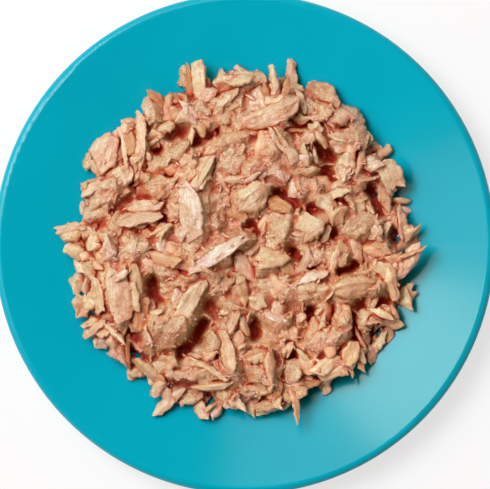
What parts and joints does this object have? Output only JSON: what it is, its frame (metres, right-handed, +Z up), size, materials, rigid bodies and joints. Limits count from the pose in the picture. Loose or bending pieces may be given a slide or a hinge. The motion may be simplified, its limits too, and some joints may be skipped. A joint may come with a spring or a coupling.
{
  "type": "plate of flaked cat food",
  "caption": "Round turquoise-glazed coupe plate on a foot ring, with a rounded heap of moist flaked cat food served in its middle.",
  "frame": {"origin": "centre of the foot ring's resting plane", "axes": "+Z up out of the plate, +X to the right and +Y away from the side the plate is set down from"},
  "size_m": [0.16, 0.16, 0.0241],
  "materials": {
    "glaze": "smooth glossy turquoise glaze, a little darker where it pools at the lip",
    "flaked_meat": "moist cooked meat flakes in a thin jelly, fibrous and pink-beige, with wet glints and dark gaps"
  },
  "bodies": {
    "root": {"plate": "glaze", "food_heap": "flaked_meat"}
  },
  "joints": []
}
